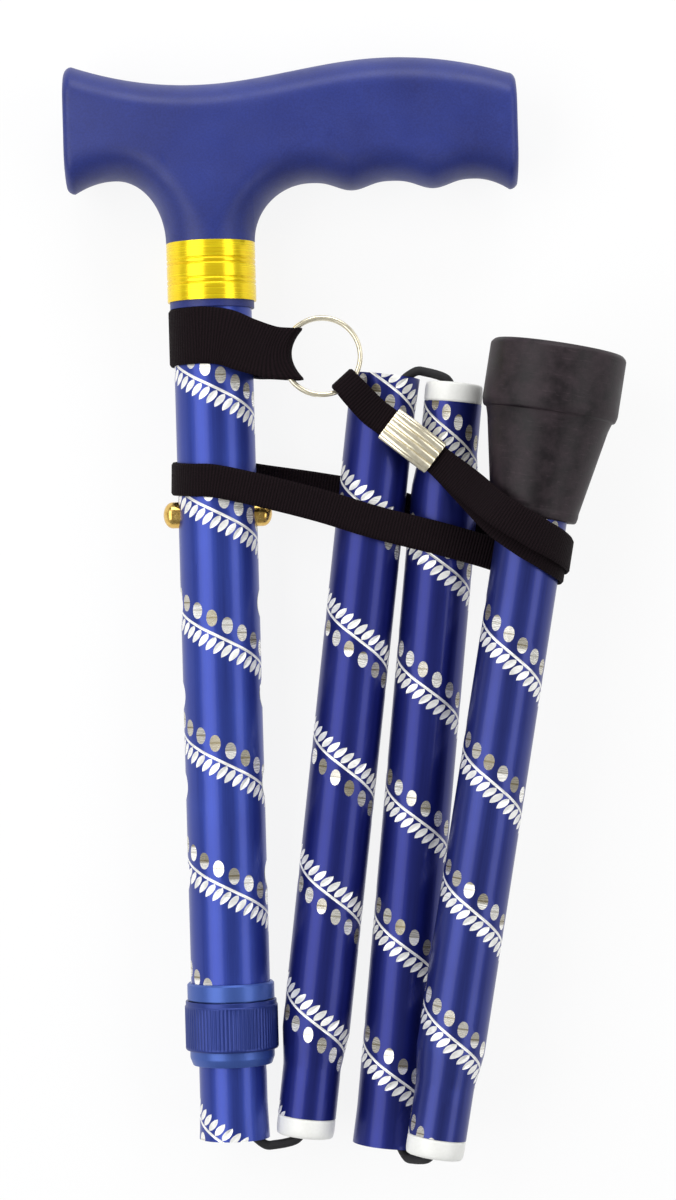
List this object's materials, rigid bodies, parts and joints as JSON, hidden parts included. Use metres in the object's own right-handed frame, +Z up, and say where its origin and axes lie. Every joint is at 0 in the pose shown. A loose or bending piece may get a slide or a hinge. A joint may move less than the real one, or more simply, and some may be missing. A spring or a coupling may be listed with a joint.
{
  "type": "folding walking cane",
  "caption": "Folding, height-adjustable walking cane with a derby handle, snap buttons, lock collar, elastic cord, rubber ferrule and wrist strap, shown folded up.",
  "frame": {"origin": "bottom centre of the bounding box of the folded cane as it lies on its side on the floor", "axes": "+Y runs along the sections towards the handle, +X from the first section to the folded ones and the front of the grip, +Z up from the floor through the flat side of the handle"},
  "size_m": [0.155, 0.3103, 0.049],
  "materials": {
    "handle_blue": "semi-gloss moulded",
    "gold_anodised": "bright gold anodised",
    "tube_blue": "satin blue anodised with a bright-cut vine",
    "collar_blue": "satin blue, knurled",
    "brass_button": "polished",
    "spring_steel": "plain",
    "white_plastic": "satin",
    "black_cord": "braided elastic",
    "black_rubber": "matte",
    "black_webbing": "woven ribbon",
    "pale_nickel": "bright"
  },
  "bodies": {
    "shaft": {"handle": "handle_blue", "collar_ring": "gold_anodised", "upper_tube": "tube_blue", "collet_bush": "collar_blue", "strap_tab": "black_webbing", "split_ring": "pale_nickel", "strap_clip": "pale_nickel", "wrist_loop": "black_webbing"},
    "lock_collar": {"lock_collar": "collar_blue"},
    "inner_tube": {"inner_tube": "tube_blue", "button_spring": "spring_steel", "cord_anchor_upper": "white_plastic", "cord_knot_upper": "black_cord", "cord_upper": "black_cord", "cord_bend_1": "black_cord"},
    "button_left": {"snap_button_left": "brass_button"},
    "button_right": {"snap_button_right": "brass_button"},
    "cord_link_2": {"cord_2": "black_cord"},
    "section_2": {"tube_2": "tube_blue", "plug_2": "white_plastic", "cord_bend_2": "black_cord"},
    "cord_link_3": {"cord_3": "black_cord"},
    "section_3": {"tube_3": "tube_blue", "plug_3": "white_plastic", "cord_bend_3": "black_cord"},
    "cord_link_4": {"cord_4": "black_cord"},
    "section_4": {"tube_4": "tube_blue", "plug_4": "white_plastic", "cord_anchor_lower": "white_plastic", "cord_knot_lower": "black_cord", "ferrule": "black_rubber", "ferrule_washer": "spring_steel"}
  },
  "joints": [
    {"name": "height", "type": "slide", "parent": "shaft", "child": "inner_tube", "axis": [0, -1, 0.0052], "range_m": [0, 0.1016], "deforming": ["snap_button_left", "snap_button_right"]},
    {"name": "lock_turn", "type": "hinge", "parent": "shaft", "child": "lock_collar", "pos_m": [-0.03751, -0.12688, 0.0159], "axis": [0, 1, -0.0052], "range_deg": [0, 180]},
    {"name": "press_left", "type": "slide", "parent": "inner_tube", "child": "button_left", "axis": [1, 0, 0], "range_m": [0, 0.00575], "stiffness_N_per_m": 900, "springref_m": -0.002, "deforming": ["button_spring"]},
    {"name": "press_right", "type": "slide", "parent": "inner_tube", "child": "button_right", "axis": [-1, 0, 0], "range_m": [0, 0.00575], "stiffness_N_per_m": 900, "springref_m": -0.002},
    {"name": "fold_1", "type": "hinge", "parent": "inner_tube", "child": "cord_link_2", "pos_m": [-0.02774, -0.14827, 0.01601], "axis": [0, -0.0052, -1], "range_deg": [0, 172.4], "deforming": ["cord_bend_1", "wrist_loop"]},
    {"name": "seat_1", "type": "slide", "parent": "cord_link_2", "child": "section_2", "axis": [-0.1323, -0.9912, 0.0052], "range_m": [0, 0.02583]},
    {"name": "fold_2", "type": "hinge", "parent": "section_2", "child": "cord_link_3", "pos_m": [0.02053, 0.06528, 0.01489], "axis": [0, 0.0052, 1], "range_deg": [0, 179], "deforming": ["cord_bend_2"]},
    {"name": "seat_2", "type": "slide", "parent": "cord_link_3", "child": "section_3", "axis": [0.1149, 0.9934, -0.0052], "range_m": [0, 0.02583]},
    {"name": "fold_3", "type": "hinge", "parent": "section_3", "child": "cord_link_4", "pos_m": [0.0116, -0.15247, 0.02355], "axis": [0.7599, -0.1169, -0.6395], "range_deg": [0, 177.57], "deforming": ["cord_bend_3"]},
    {"name": "seat_3", "type": "slide", "parent": "cord_link_4", "child": "section_4", "axis": [-0.1805, -0.9836, 0.0052], "range_m": [0, 0.02583]}
  ],
  "couplings": [
    {"joint": "fold_2", "follows": "fold_1", "ratio": 1.0383},
    {"joint": "seat_2", "follows": "seat_1", "ratio": 1},
    {"joint": "fold_3", "follows": "fold_1", "ratio": 1.03},
    {"joint": "seat_3", "follows": "seat_1", "ratio": 1}
  ]
}
